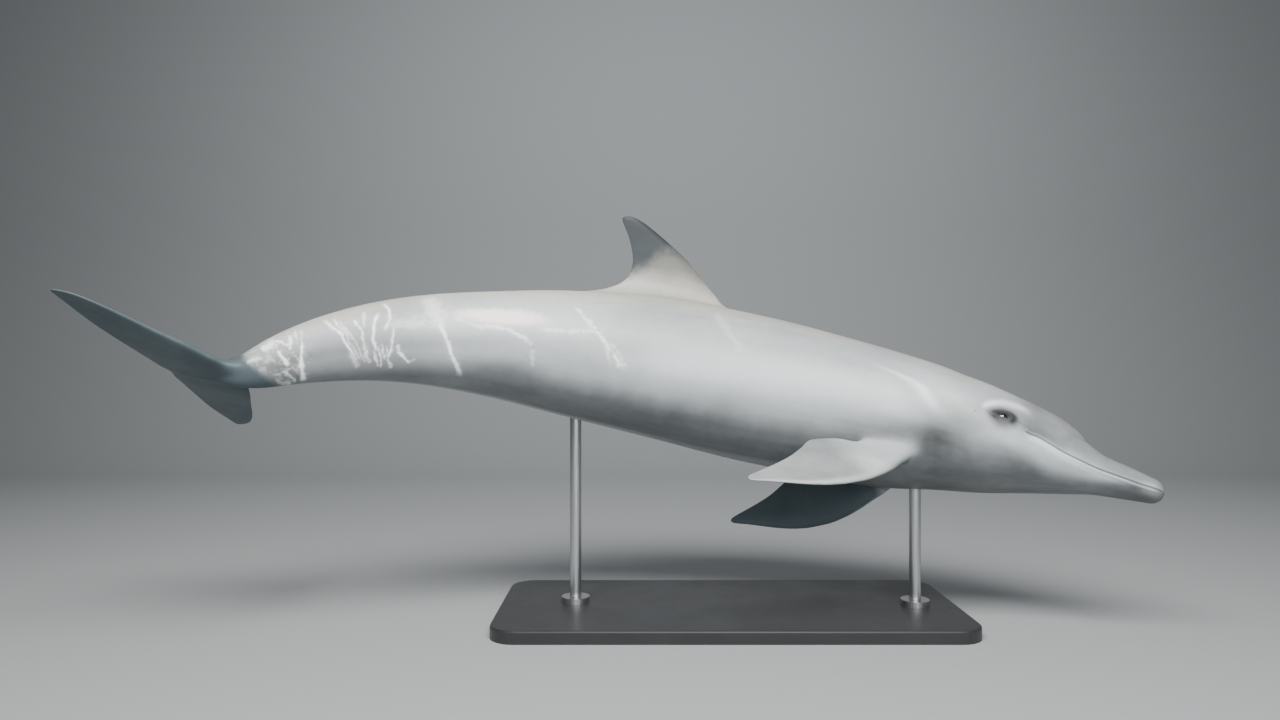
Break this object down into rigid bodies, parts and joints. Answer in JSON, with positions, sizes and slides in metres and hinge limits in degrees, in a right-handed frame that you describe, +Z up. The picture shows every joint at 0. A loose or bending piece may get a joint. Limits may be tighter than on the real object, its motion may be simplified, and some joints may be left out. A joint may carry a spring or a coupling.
{
  "type": "bottlenose dolphin",
  "caption": "Slender long-beaked bottlenose dolphin, life-size still model banking in a gentle turn, held over a flat base by short steel rods.",
  "frame": {"origin": "centre of the underside of the stand's base, on the floor and under the centre of the body's volume", "axes": "+X towards the beak and along the base, +Y to the animal's left, +Z up"},
  "size_m": [2.2735, 0.7008, 0.9825],
  "materials": {
    "hide_grey": "smooth wet skin, silvery grey above and paler below",
    "beak_grey": "smooth wet skin",
    "fin_slate": "smooth wet skin, dark slate grey",
    "eye_dark": "very dark brown, glossy",
    "stand_black": "satin black",
    "stand_steel": "satin steel"
  },
  "bodies": {
    "root": {"head": "hide_grey", "upper_jaw": "beak_grey", "lower_jaw": "beak_grey", "trunk": "hide_grey", "tail_stock": "hide_grey", "dorsal_fin": "fin_slate", "flipper_right": "fin_slate", "flipper_left": "fin_slate", "fluke_right": "fin_slate", "fluke_left": "fin_slate", "eye_right": "eye_dark", "eye_left": "eye_dark", "stand_base": "stand_black", "stand_rod_front": "stand_steel", "stand_rod_rear": "stand_steel", "stand_collar_front": "stand_steel", "stand_collar_rear": "stand_steel"}
  },
  "joints": []
}
